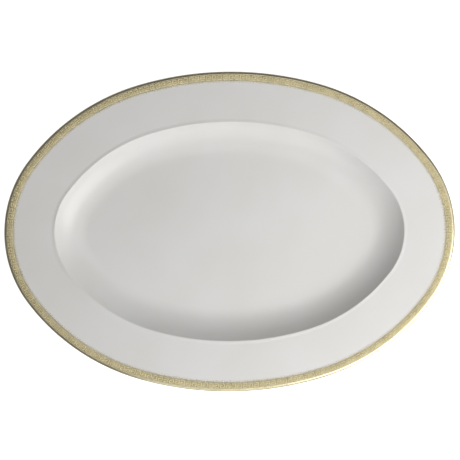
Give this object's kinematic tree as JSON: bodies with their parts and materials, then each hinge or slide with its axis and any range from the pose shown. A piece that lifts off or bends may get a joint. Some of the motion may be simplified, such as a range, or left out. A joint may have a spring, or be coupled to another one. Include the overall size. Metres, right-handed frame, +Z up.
{
  "type": "oval serving platter",
  "caption": "Oval glazed china platter with a broad rim, a shallow well with a hollow curved wall, an oval foot ring and a gilded key border along the lip.",
  "frame": {"origin": "centre of the plane that the foot ring stands on, under the middle of the platter", "axes": "+X along the length, +Y along the width, +Z up out of the well"},
  "size_m": [0.3998, 0.284, 0.0276],
  "materials": {
    "fired_china": "matt unglazed",
    "clear_glaze": "gloss",
    "burnished_gold": "burnished",
    "matt_gold": "satin",
    "raised_gold": "burnished"
  },
  "bodies": {
    "root": {"china_body": "fired_china", "outer_glaze": "clear_glaze", "recess_glaze": "clear_glaze", "lip_gilding": "burnished_gold", "key_band": "matt_gold", "keys": "raised_gold", "fine_line": "matt_gold", "beads": "raised_gold"}
  },
  "joints": []
}
